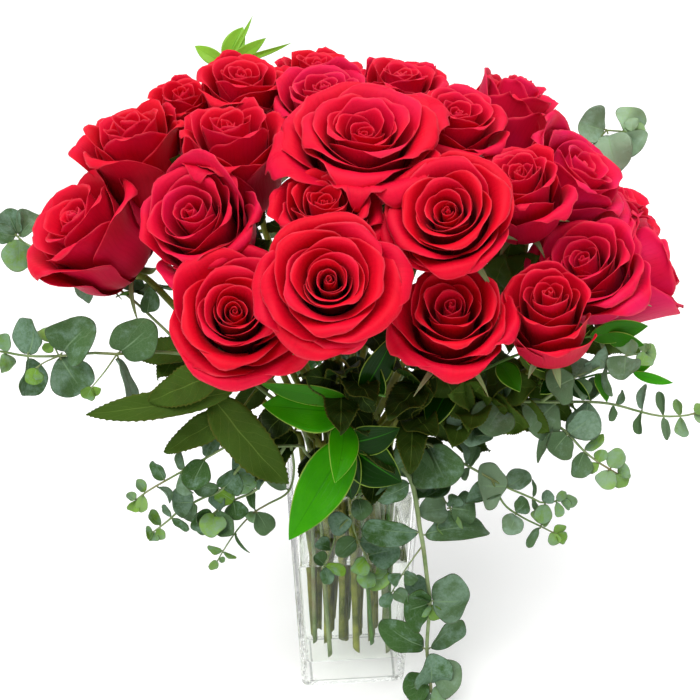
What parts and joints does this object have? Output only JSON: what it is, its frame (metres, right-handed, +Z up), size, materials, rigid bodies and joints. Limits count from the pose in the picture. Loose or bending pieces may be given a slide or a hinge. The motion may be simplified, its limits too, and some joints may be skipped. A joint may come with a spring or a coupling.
{
  "type": "roses in a vase",
  "caption": "Dome-shaped arrangement of open red roses with glaucous round-leaved eucalyptus and glossy green shoots, in a square, heavy-based, tapered clear glass vase of water",
  "frame": {"origin": "centre of the vase's underside, on the surface it stands on", "axes": "+Z up; the vase's flat sides are square to X and Y; -Y is the front of the arrangement"},
  "size_m": [0.5286, 0.3501, 0.4955],
  "materials": {
    "glass": "polished",
    "water": "polished",
    "petal": "matte",
    "rose_stem": "satin",
    "eucalyptus": "matte",
    "glossy_leaf": "gloss"
  },
  "bodies": {
    "root": {"vase": "glass", "water": "water", "rose_01_bloom": "petal", "rose_01_stem": "rose_stem", "rose_02_bloom": "petal", "rose_02_stem": "rose_stem", "rose_03_bloom": "petal", "rose_03_stem": "rose_stem", "rose_04_bloom": "petal", "rose_04_stem": "rose_stem", "rose_05_bloom": "petal", "rose_05_stem": "rose_stem", "rose_06_bloom": "petal", "rose_06_stem": "rose_stem", "rose_07_bloom": "petal", "rose_07_stem": "rose_stem", "rose_08_bloom": "petal", "rose_08_stem": "rose_stem", "rose_09_bloom": "petal", "rose_09_stem": "rose_stem", "rose_10_bloom": "petal", "rose_10_stem": "rose_stem", "rose_11_bloom": "petal", "rose_11_stem": "rose_stem", "rose_12_bloom": "petal", "rose_12_stem": "rose_stem", "rose_13_bloom": "petal", "rose_13_stem": "rose_stem", "rose_14_bloom": "petal", "rose_14_stem": "rose_stem", "rose_15_bloom": "petal", "rose_15_stem": "rose_stem", "rose_16_bloom": "petal", "rose_16_stem": "rose_stem", "rose_17_bloom": "petal", "rose_17_stem": "rose_stem", "rose_18_bloom": "petal", "rose_18_stem": "rose_stem", "rose_19_bloom": "petal", "rose_19_stem": "rose_stem", "rose_20_bloom": "petal", "rose_20_stem": "rose_stem", "rose_21_bloom": "petal", "rose_21_stem": "rose_stem", "rose_22_bloom": "petal", "rose_22_stem": "rose_stem", "rose_23_bloom": "petal", "rose_23_stem": "rose_stem", "rose_24_bloom": "petal", "rose_24_stem": "rose_stem", "eucalyptus_left": "eucalyptus", "eucalyptus_lower_left": "eucalyptus", "eucalyptus_front": "eucalyptus", "eucalyptus_lower_right": "eucalyptus", "eucalyptus_right": "eucalyptus", "eucalyptus_upper_right": "eucalyptus", "eucalyptus_back": "eucalyptus", "ruscus_front": "glossy_leaf", "ruscus_right": "glossy_leaf", "ruscus_back": "glossy_leaf"}
  },
  "joints": []
}
